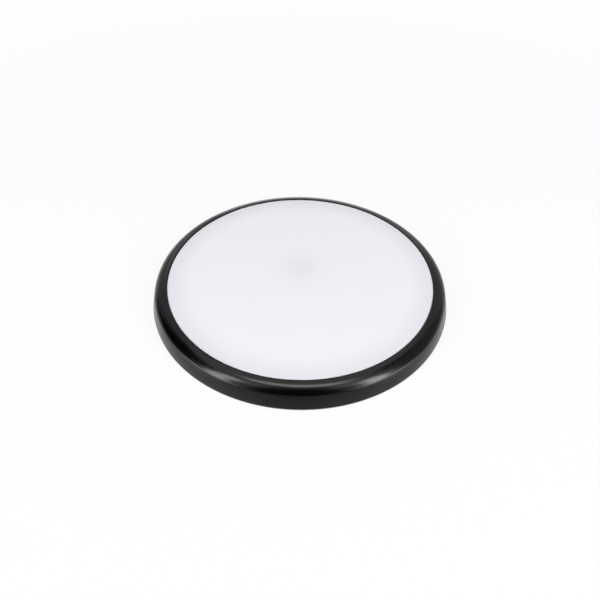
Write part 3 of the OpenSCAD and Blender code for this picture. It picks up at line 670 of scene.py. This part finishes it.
# Angles that the small mouldings span, the play of the lugs and the travel of the twist lock
HOOK_ANGLE = math.radians(9)
LUG_ANGLE = math.radians(12)
LEDGE_ANGLE = math.radians(16)
STOP_ANGLE = math.radians(1.5)
LUG_PLAY = math.radians(0.62)
TRAVEL = math.radians(18)
# Bosses on the base's back, as (radius in mm, direction in degrees): driver board, its cover and LED board
BACK_BOSSES = (
    *((35.5, direction) for direction in (-15, 100, 185)),
    *((50, direction) for direction in (0, 120, 240)),
    *((88, direction) for direction in range(30, 390, 60)),
)

# Upright cards that shape the reflections: direction, width, lower and upper elevation, all in degrees, and
# brightness. Each stands a little nearer than the one before, so a later card covers an earlier one.
UPRIGHT_CARDS = (
    ("dark_card", 145, 190, 0, 53, 0.0),
    ("tall_dark_card", 238, 64, 53, 73, 0.0),
    ("right_grey_card", 335, 57, 0, 50, 0.31),
    ("far_right_grey_card", 32, 43, 0, 50, 0.55),
    ("right_dark_card", 355, 40, 50, 64, 0.18),
    ("right_bright_card", 64, 12, 17, 32, 1.4),
    ("far_grey_card", 76, 30, 20, 55, 0.58),
    ("left_grey_card", 105, 40, 12, 53, 0.52),
    ("left_low_card", 107, 30, 2, 12, 0.6),
    ("left_bright_card", 109, 12, 22, 36, 1.4),
    ("left_step_card", 145, 11, 12, 50, 0.28),
)
# Distance in metres beyond the first card, and how much nearer each next one stands
CARD_REACH = 3.2
CARD_STEP = 0.01

# The floor card as the ring mirrors it: dark in front, pale behind, and a glow in front of each strip light.
# Directions are in degrees, once round from 180. Each glow has its direction, half width and brightness.
FOOT_FRONT = 0.45
FOOT_SIDE = 0.7
FAR_DARK = 0.15
PALE_BACK = ((390, 1.5), (515, 1.5))
GLOWS = ((225, 18, 4.5), (313, 18, 5.0))
# Distances in metres up to which the tones of the foot hold, and from which those further out do
FOOT_UNTIL = 0.155
FAR_FROM = 0.24
# The brightness that the ramps' white stands for
BRIGHTEST = 6.5
# Inner and outer edge of the floor card, in metres
FLOOR_CARD_RADII = (0.1503, 2.5)
FLOOR_CARD_Z = -0.1 * MM

FLOOR_WIDTH = 30
FLOOR_Z = -0.2 * MM
# Tone of the paper, and the darker tone painted right under the light as its shadow
PAPER = 0.94
PAPER_PAINTED_SHADOW = 0.15
# Distances over which the painted shadow right under the light, and the lack of plain white there, end
SHADOW_UNDER_EDGE = (149.3 * MM, 150.3 * MM)
# Share of plain white in the floor as it is seen near the light, and the distances over which it grows to 1
WHITE_SHARE = 0.86
NEAR_FLOOR = (0.3, 1.2)
# Distance in metres at which the strip lights stand
STRIP_REACH = 1.53
# Brightness of the world as a source of light, and where it is seen
WORLD_DIM = 0.255
WORLD_SEEN = 1.0


# Operators

class CEILING_LIGHT_OT_finishes(Operator):
    """Makes the shared node groups and the finishes"""

    bl_idname = "ceiling_light.finishes"
    bl_label = "Finishes"

    def execute(self, context):
        colours = context.scene.light_colours
        grain_group()
        drift_group()
        distance_group()
        moulded(
            "finish_ring_black", colours.ring, 0.195,
            spread=0.02, grain=2600.0, depth=0.004, tone=0.15, specular=0.4,
        )
        opal("finish_opal", colours.panel)
        moulded("finish_base_white", colours.base, 0.55, grain=2200.0, depth=0.03, tone=0.02)
        moulded("finish_grommet_black", colours.rubber, 0.62, grain=1600.0, depth=0.03, tone=0.2)
        return {"FINISHED"}


class CEILING_LIGHT_OT_ring(Operator):
    """Builds the black ring with its lip, ribs, hooks and lugs"""

    bl_idname = "ceiling_light.ring"
    bl_label = "Ring"

    def execute(self, context):
        size = context.scene.light_ring
        foot = Vector((size.outer_radius, RING_LOW.z))
        top = RING_HIGH.z
        normal = Vector((math.cos(size.lean), math.sin(size.lean)))
        step = size.shoulder_radius - size.corner_radius
        corner_z = top - size.shoulder_radius + step * math.sin(size.meet_angle)
        corner_r = (foot.dot(normal) - size.corner_radius - corner_z * normal.y) / normal.x
        corner = (corner_r, corner_z)
        shoulder = (corner_r - step * math.cos(size.meet_angle), top - size.shoulder_radius)
        quarter = math.pi / 2
        lip_z = top - size.lip
        inside = size.shoulder_radius - size.wall
        pocket_turn = math.acos((size.pocket_radius - shoulder[0]) / inside)
        foot_round = 0.35 * MM
        inner_foot = foot.x - size.wall / math.cos(size.lean)
        edge = 0.4 * MM

        outline = arc(corner, size.corner_radius, size.lean, size.meet_angle, 22)
        outline += arc(shoulder, size.shoulder_radius, size.meet_angle, quarter, 22)[1:]
        outline += arc((size.opening_radius + edge, top - edge), edge, quarter, math.pi, 4)
        outline += [(size.opening_radius, lip_z), (size.pocket_radius, lip_z)]
        outline += arc(shoulder, inside, pocket_turn, size.meet_angle, 8)
        outline += arc(corner, size.corner_radius - size.wall, size.meet_angle, size.lean, 10)[1:]
        outline += [(inner_foot, foot.y), (foot.x - foot_round, foot.y)]
        outline += [(foot.x - 0.3 * foot_round, foot.y + 0.3 * foot_round)]
        outline += [(foot.x - foot_round * math.tan(size.lean), foot.y + foot_round)]
        outline.append(outline[0])
        ring = turned("ring", outline, steps=300)

        rib_r = size.pocket_radius + 0.5 * MM
        rib_outline = sharp([
            (rib_r, top - 3 * MM), (rib_r, 14 * MM), (rib_r + 4 * MM, 10 * MM),
            (146.2 * MM, 10 * MM), (145.2 * MM, 14 * MM), (142 * MM, 18 * MM),
        ])
        rib = plate("rib", rib_outline, 1.2 * MM)
        turn(rib, math.pi / size.ribs)
        hook_start = math.pi / size.hooks + math.pi / size.ribs - HOOK_ANGLE / 2
        hook = segment("hook", sharp(HOOK, MM), hook_start, HOOK_ANGLE)
        lug = segment("lug", sharp(LUG, MM), LUG_PLAY, LUG_ANGLE)
        inner = ring_of(rib, size.ribs) + ring_of(hook, size.hooks) + ring_of(lug, size.lugs)
        join(ring, inner)
        finish_piece(ring, "lamp_cover", bpy.data.materials["finish_ring_black"])
        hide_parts("trim_ring")
        return {"FINISHED"}


class CEILING_LIGHT_OT_panel(Operator):
    """Builds the opal diffuser"""

    bl_idname = "ceiling_light.panel"
    bl_label = "Diffuser"

    def execute(self, context):
        size = context.scene.light_panel
        flat_r = size.radius - size.edge_round
        inner_r = size.radius - size.thickness
        flange_r, flange_z = PANEL_HIGH.x, PANEL_LOW.z
        lip_z = flange_z + size.thickness
        steps = 24
        crown = [
            (flat_r * i / steps, size.rim_height + size.crown * (1 - (i / steps) ** 2))
            for i in range(steps)
        ]
        edge = arc((flat_r, size.rim_height - size.edge_round), size.edge_round, math.pi / 2, 0, 6)
        flange = [
            (size.radius, lip_z), (flange_r - 0.2 * MM, lip_z), (flange_r, lip_z - 0.2 * MM),
            (flange_r, flange_z), (inner_r, flange_z),
        ]
        below = [
            (inner_r * i / steps, size.rim_height - size.thickness + size.crown * (1 - (i / steps) ** 2))
            for i in range(steps, -1, -1)
        ]
        panel = turned("opal_panel", crown + edge + flange + below)
        finish_piece(panel, "lamp_cover", bpy.data.materials["finish_opal"], angle=25)
        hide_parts("diffuser")
        return {"FINISHED"}


class CEILING_LIGHT_OT_base(Operator):
    """Builds the base with its rim, skirt, ribs, bosses and holes, and the cable bush"""

    bl_idname = "ceiling_light.base"
    bl_label = "Base"

    def execute(self, context):
        size = context.scene.light_base
        lugs = context.scene.light_ring.lugs
        rim_in = size.rim_radius - size.rim
        foot_in = size.rim_radius - size.foot
        hub_in = size.hub_radius - 2 * MM
        top = size.hollow + size.floor
        skirt_low, skirt_top = 1.2 * MM, 3.2 * MM
        small = 0.3 * MM
        screw_hole, neck, bush_hole = 2.6 * MM, 7 * MM, 4 * MM
        pan = turned(
            "base_pan",
            rounded([
                (0, size.hollow, 0), (hub_in, size.hollow, small), (hub_in, 0, small),
                (size.hub_radius, 0, small), (size.hub_radius, size.hollow, small),
                (foot_in, size.hollow, small), (foot_in, 0, small), (size.rim_radius, 0, small),
                (size.rim_radius, skirt_low, small), (BASE_HIGH.x, skirt_low, small),
                (BASE_HIGH.x, skirt_top, small), (size.rim_radius, skirt_top, small),
                (size.rim_radius, BASE_HIGH.z, small), (rim_in, BASE_HIGH.z, small),
                (rim_in, top, 1.5 * MM), (0, top, 0),
            ], closed=False),
        )
        turns = [math.tau / size.holes * (i + 0.5) for i in range(size.holes)]
        places = [(size.hole_circle * math.cos(a), size.hole_circle * math.sin(a)) for a in turns]
        drill(pan, places, screw_hole)
        bush_at = (0, (BUSH_LOW.y + BUSH_HIGH.y) / 2)
        drill(pan, [bush_at], neck)

        foot_r, post_r, sink_r = 7 * MM, 6 * MM, 4.7 * MM
        boss = rounded([
            (screw_hole, 0, small), (foot_r, 0, small), (foot_r, top - 0.5 * MM, 0),
            (post_r, top - 0.5 * MM, 0), (post_r, top + 2 * MM, small),
            (sink_r, top + 2 * MM, 0), (screw_hole, top - 0.1 * MM, 0),
        ])
        parts = [turned("boss", boss, steps=64, at=place) for place in places]

        back, sunk = 0.6 * MM, 3 * MM
        rib_from, rib_to = size.hub_radius - 1 * MM, size.rim_radius - size.foot / 2
        rib_outline = sharp([(rib_from, back), (rib_to, back), (rib_to, sunk), (rib_from, sunk)])
        rib = plate("back_rib", rib_outline, 1.6 * MM)
        bevel(rib, 0.25 * MM)
        parts += ring_of(rib, size.ribs, math.pi / size.ribs)
        boss_r = 3.5 * MM
        back_boss = rounded(
            [(0, back, 0), (boss_r, back, small), (boss_r, sunk, 0), (0, sunk, 0)],
            closed=False,
        )
        for radius, direction in BACK_BOSSES:
            angle = math.radians(direction)
            place = (radius * MM * math.cos(angle), radius * MM * math.sin(angle))
            parts.append(turned("back_boss", back_boss, steps=40, at=place))

        track_end = 2 * LUG_PLAY + LUG_ANGLE + TRAVEL
        for name, corners, start, width, steps in (
            ("ledge", LEDGE, 0, LEDGE_ANGLE, 10),
            ("first_stop", STOP, -STOP_ANGLE, STOP_ANGLE, 2),
            ("last_stop", STOP, track_end, STOP_ANGLE, 2),
        ):
            parts += ring_of(segment(name, sharp(corners, MM), start, width, steps), lugs)
        join(pan, parts)
        finish_piece(pan, "lamp_base", bpy.data.materials["finish_base_white"])
        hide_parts("base")

        high, low = BUSH_HIGH.z, BUSH_LOW.z
        flange = BUSH_HIGH.x
        bush = turned(
            "cable_bush",
            rounded([
                (bush_hole, low, small), (flange, low, 0.6 * MM), (flange, size.hollow, 0),
                (neck, size.hollow, 0), (neck, top, 0), (flange, top, 0),
                (flange, high, 0.6 * MM), (bush_hole, high, small),
            ]),
            steps=96, at=bush_at,
        )
        finish_piece(bush, "lamp_base", bpy.data.materials["finish_grommet_black"])
        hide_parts("cable_grommet")
        return {"FINISHED"}


class CEILING_LIGHT_OT_inside(Operator):
    """Gives the parts inside the light their finishes"""

    bl_idname = "ceiling_light.inside"
    bl_label = "Parts inside"

    def execute(self, context):
        slots = {part["node"]: part["material_slot"] for part in frame["record"]["subparts"]}
        shown = ("trim_ring", "diffuser", "base", "cable_grommet")
        for name, node in frame["nodes"].items():
            if name in shown:
                continue
            slot = slots[name]
            material = bpy.data.materials.get("finish_" + slot)
            if material is None:
                colour, roughness, grain, depth, metallic = INNER_FINISHES[slot]
                material = moulded(
                    "finish_" + slot, colour, roughness, grain=grain, depth=depth, metallic=metallic,
                )
            for material_slot in node.material_slots:
                material_slot.material = material
        return {"FINISHED"}


class CEILING_LIGHT_OT_stage(Operator):
    """Sets up the floor, the dark screens, the lamps, the world and the camera"""

    bl_idname = "ceiling_light.stage"
    bl_label = "Studio"

    def execute(self, context):
        studio = context.scene.light_studio
        self.floor()
        self.screens()
        self.lamps(studio)
        self.world()
        self.camera(studio)
        context.scene.view_settings.view_transform = "Standard"
        return {"FINISHED"}

    def seen_rays(self, tree):
        """Is Camera Ray, Is Glossy Ray and Is Transmission Ray as one factor."""
        path = tree.nodes.new("ShaderNodeLightPath")
        first = math_node(tree.nodes, "MAXIMUM")
        both = math_node(tree.nodes, "MAXIMUM")
        tree.links.new(path.outputs["Is Camera Ray"], first.inputs[0])
        tree.links.new(path.outputs["Is Glossy Ray"], first.inputs[1])
        tree.links.new(first.outputs[0], both.inputs[0])
        tree.links.new(path.outputs["Is Transmission Ray"], both.inputs[1])
        return both.outputs[0]

    def floor(self):
        """A pale floor with a painted shadow right under the light, clear from below so that the back of the
        light can be looked at.
        """
        clear_selection()
        bpy.ops.mesh.primitive_plane_add(size=FLOOR_WIDTH, location=(0, 0, FLOOR_Z))
        floor = bpy.context.object
        floor.name = "floor"
        material = bpy.data.materials.new("floor_white")
        material.use_nodes = True
        tree = material.node_tree
        tree.nodes.clear()
        tree.nodes.new("ShaderNodeTexCoord").name = "Place"
        paper = tree.nodes.new("ShaderNodeBsdfDiffuse")
        white = tree.nodes.new("ShaderNodeEmission")
        clear = tree.nodes.new("ShaderNodeBsdfTransparent")
        share = math_node(tree.nodes, "MULTIPLY")
        blend = tree.nodes.new("ShaderNodeMixShader")
        side = tree.nodes.new("ShaderNodeMixShader")
        facing = tree.nodes.new("ShaderNodeNewGeometry")
        out = tree.nodes.new("ShaderNodeOutputMaterial")
        under = round_mask(material, *SHADOW_UNDER_EDGE)
        near = round_mask(material, *NEAR_FLOOR)
        open_share = between(tree, near, 1.0, WHITE_SHARE)
        # Painted shadow: the paper's colour is darker right under the light
        tree.links.new(between(tree, under, PAPER, PAPER_PAINTED_SHADOW), paper.inputs["Color"])
        tree.links.new(self.seen_rays(tree), share.inputs[0])
        tree.links.new(between(tree, under, open_share, 0.0), share.inputs[1])
        tree.links.new(share.outputs[0], blend.inputs[0])
        tree.links.new(paper.outputs[0], blend.inputs[1])
        tree.links.new(white.outputs[0], blend.inputs[2])
        tree.links.new(facing.outputs["Backfacing"], side.inputs[0])
        tree.links.new(blend.outputs[0], side.inputs[1])
        tree.links.new(clear.outputs[0], side.inputs[2])
        tree.links.new(side.outputs[0], out.inputs["Surface"])
        floor.data.materials.append(material)
        floor.visible_shadow = False

    def card(self, name, outline, start, width, brightness):
        """A screen that only mirrors show, spun over part of a turn."""
        card = draw_outline(name, outline)
        bpy.ops.mesh.spin(steps=24, angle=-math.radians(width), center=(0, 0, 0), axis=(0, 0, 1))
        bpy.ops.object.mode_set(mode="OBJECT")
        turn(card, math.radians(start))
        material, shader = new_material(name)
        shader.inputs["Base Color"].default_value = (0, 0, 0, 1)
        shader.inputs["Specular IOR Level"].default_value = 0.0
        shader.inputs["Emission Color"].default_value = (1, 1, 1, 1)
        shader.inputs["Emission Strength"].default_value = brightness
        card.data.materials.append(material)
        card.visible_camera = False
        card.visible_diffuse = False
        card.visible_shadow = False
        return material, shader

    def tones(self, tree, way, stops):
        """Brightness by direction, once round from 180 degrees."""
        ramp = tree.nodes.new("ShaderNodeValToRGB")
        steps = ramp.color_ramp.elements
        for direction, brightness in stops[1:-1]:
            steps.new((direction - 180) / 360)
        for step, (direction, brightness) in zip(steps, stops):
            level = brightness / BRIGHTEST
            step.color = (level, level, level, 1)
        tree.links.new(way, ramp.inputs["Fac"])
        return ramp.outputs["Color"]

    def floor_card(self):
        """A card on the floor that only mirrors show: dark in front, pale behind, a glow on each side."""
        outline = [(radius, FLOOR_CARD_Z) for radius in FLOOR_CARD_RADII]
        material, shader = self.card("floor_card", outline, 0, 360, 1.0)
        tree = material.node_tree
        way = tree.nodes.new("ShaderNodeTexGradient")
        way.gradient_type = "RADIAL"
        tree.links.new(tree.nodes["Place"].outputs["Object"], way.inputs["Vector"])
        foot = [(180, FOOT_SIDE), (240, FOOT_SIDE), (270, FOOT_FRONT), (300, FOOT_SIDE), (360, FOOT_SIDE)]
        far = [(180, FAR_DARK)]
        for direction, half, brightness in GLOWS:
            far += [(direction - half, FAR_DARK), (direction - half / 3, brightness)]
            far += [(direction + half / 3, brightness), (direction + half, FAR_DARK)]
        far.append((345, FAR_DARK))
        foot_tone = self.tones(tree, way.outputs["Fac"], [*foot, *PALE_BACK, (540, FOOT_SIDE)])
        far_tone = self.tones(tree, way.outputs["Fac"], [*far, *PALE_BACK, (540, FAR_DARK)])
        level = between(tree, round_mask(material, FOOT_UNTIL, FAR_FROM), far_tone, foot_tone)
        strength = math_node(tree.nodes, "MULTIPLY", second=BRIGHTEST)
        tree.links.new(level, strength.inputs[0])
        tree.links.new(strength.outputs[0], shader.inputs["Emission Strength"])

    def screens(self):
        """Dark and grey screens round the light, and a card on the floor, which give the ring its tones."""
        reach = CARD_REACH
        for name, start, width, low, high, brightness in UPRIGHT_CARDS:
            reach -= CARD_STEP
            outline = [(reach, reach * math.tan(math.radians(angle))) for angle in (low, high)]
            self.card(name, outline, start, width, brightness)
        self.floor_card()

    def lamp(self, name, place, aim, size, brightness, glossy=True):
        """A soft rectangular lamp whose face has a given brightness."""
        data = bpy.data.lights.new(name, "AREA")
        data.shape = "RECTANGLE"
        data.size, data.size_y = size
        data.energy = brightness * math.pi * size[0] * size[1]
        lamp = bpy.data.objects.new(name, data)
        bpy.context.scene.collection.objects.link(lamp)
        lamp.location = place
        way = Vector(aim) - Vector(place)
        lamp.rotation_euler = way.to_track_quat("-Z", "Y").to_euler()
        lamp.visible_camera = False
        lamp.visible_glossy = glossy
        lamp.visible_transmission = glossy
        return lamp

    def lamps(self, studio):
        """One lamp overhead, a narrow and a wide strip on each side in front, one behind and one below."""
        place, aim = (0.01, -0.17, 2.0), (0.01, -0.17, 0)
        overhead = self.lamp("overhead", place, aim, (1.3, 0.38), studio.overhead)
        overhead.rotation_euler.z += math.radians(-8)
        self.strip("left_strip", 214.5, 14, 2.3, studio.left, lean=5)
        self.strip("left_glow", 221, 36, 2.5, studio.glow)
        self.strip("right_strip", 322.5, 15, 1.9, studio.right, lean=-5)
        self.strip("right_glow", 318, 40, 3.3, studio.glow)
        self.lamp("far", (-0.75, 3.0, 0.5), (-0.75, 0, 0.5), (2.9, 1.0), studio.far)
        self.lamp("under", (-0.9, -0.7, -1.6), (0, 0, 0), (1.6, 1.6), studio.under, glossy=False)

    def strip(self, name, direction, width, height, brightness, lean=0.0):
        """An upright strip in a direction, its width and its lean given as angles."""
        angle = math.radians(direction)
        place = (STRIP_REACH * math.cos(angle), STRIP_REACH * math.sin(angle), height / 2)
        across = 2 * STRIP_REACH * math.tan(math.radians(width) / 2)
        lamp = self.lamp(name, place, (0, 0, height / 2), (across, height), brightness)
        lamp.rotation_euler.rotate_axis("Z", math.radians(lean))

    def world(self):
        """White where it is seen or mirrored, and dim as a source of light."""
        world = bpy.data.worlds.new("studio")
        world.use_nodes = True
        tree = world.node_tree
        background = tree.nodes["Background"]
        background.inputs["Color"].default_value = (1, 1, 1, 1)
        strength = between(tree, self.seen_rays(tree), WORLD_DIM, WORLD_SEEN)
        tree.links.new(strength, background.inputs["Strength"])
        bpy.context.scene.world = world

    def camera(self, studio):
        """The camera at the photograph's place and angle."""
        data = bpy.data.cameras.new("camera")
        data.lens = studio.lens
        data.sensor_width = 36
        data.clip_start = 0.01
        camera = bpy.data.objects.new("camera", data)
        bpy.context.scene.collection.objects.link(camera)
        back = Vector((0, -math.cos(studio.elevation), math.sin(studio.elevation)))
        place = Vector((0, 0, RING_HIGH.z)) + back * studio.distance
        look = (
            Matrix.Rotation(math.pi / 2 - studio.elevation, 4, "X")
            @ Matrix.Rotation(-studio.tilt, 4, "X")
            @ Matrix.Rotation(studio.roll, 4, "Z")
        )
        camera.matrix_world = Matrix.Translation(place) @ look
        bpy.context.scene.camera = camera


class CEILING_LIGHT_PT_panel(Panel):
    """Lists the steps of the build and the sizes and colours that they use"""

    bl_label = "Ceiling Light"
    bl_idname = "CEILING_LIGHT_PT_panel"
    bl_space_type = "VIEW_3D"
    bl_region_type = "UI"
    bl_category = "Ceiling Light"

    def draw(self, context):
        layout = self.layout
        scene = context.scene
        groups = [getattr(scene, name) for name in GROUPS]
        for operator in OPERATORS:
            layout.operator(operator.bl_idname)
        for group in groups:
            box = layout.box()
            for name in group.__annotations__:
                box.prop(group, name)


OPERATORS = (
    CEILING_LIGHT_OT_finishes,
    CEILING_LIGHT_OT_ring,
    CEILING_LIGHT_OT_panel,
    CEILING_LIGHT_OT_base,
    CEILING_LIGHT_OT_inside,
    CEILING_LIGHT_OT_stage,
)
GROUPS = {
    "light_ring": RingSizes,
    "light_panel": PanelSizes,
    "light_base": BaseSizes,
    "light_colours": FinishColours,
    "light_studio": StudioSetup,
}


def register():
    for group in GROUPS.values():
        bpy.utils.register_class(group)
    for name, group in GROUPS.items():
        setattr(bpy.types.Scene, name, PointerProperty(type=group))
    for operator in OPERATORS:
        bpy.utils.register_class(operator)
    bpy.utils.register_class(CEILING_LIGHT_PT_panel)


def unregister():
    bpy.utils.unregister_class(CEILING_LIGHT_PT_panel)
    for operator in reversed(OPERATORS):
        bpy.utils.unregister_class(operator)
    for name in GROUPS:
        delattr(bpy.types.Scene, name)
    for group in reversed(GROUPS.values()):
        bpy.utils.unregister_class(group)


def main():
    register()
    bpy.ops.ceiling_light.finishes()
    bpy.ops.ceiling_light.ring()
    bpy.ops.ceiling_light.panel()
    bpy.ops.ceiling_light.base()
    bpy.ops.ceiling_light.inside()
    bpy.ops.ceiling_light.stage()


if __name__ == "__main__":
    main()
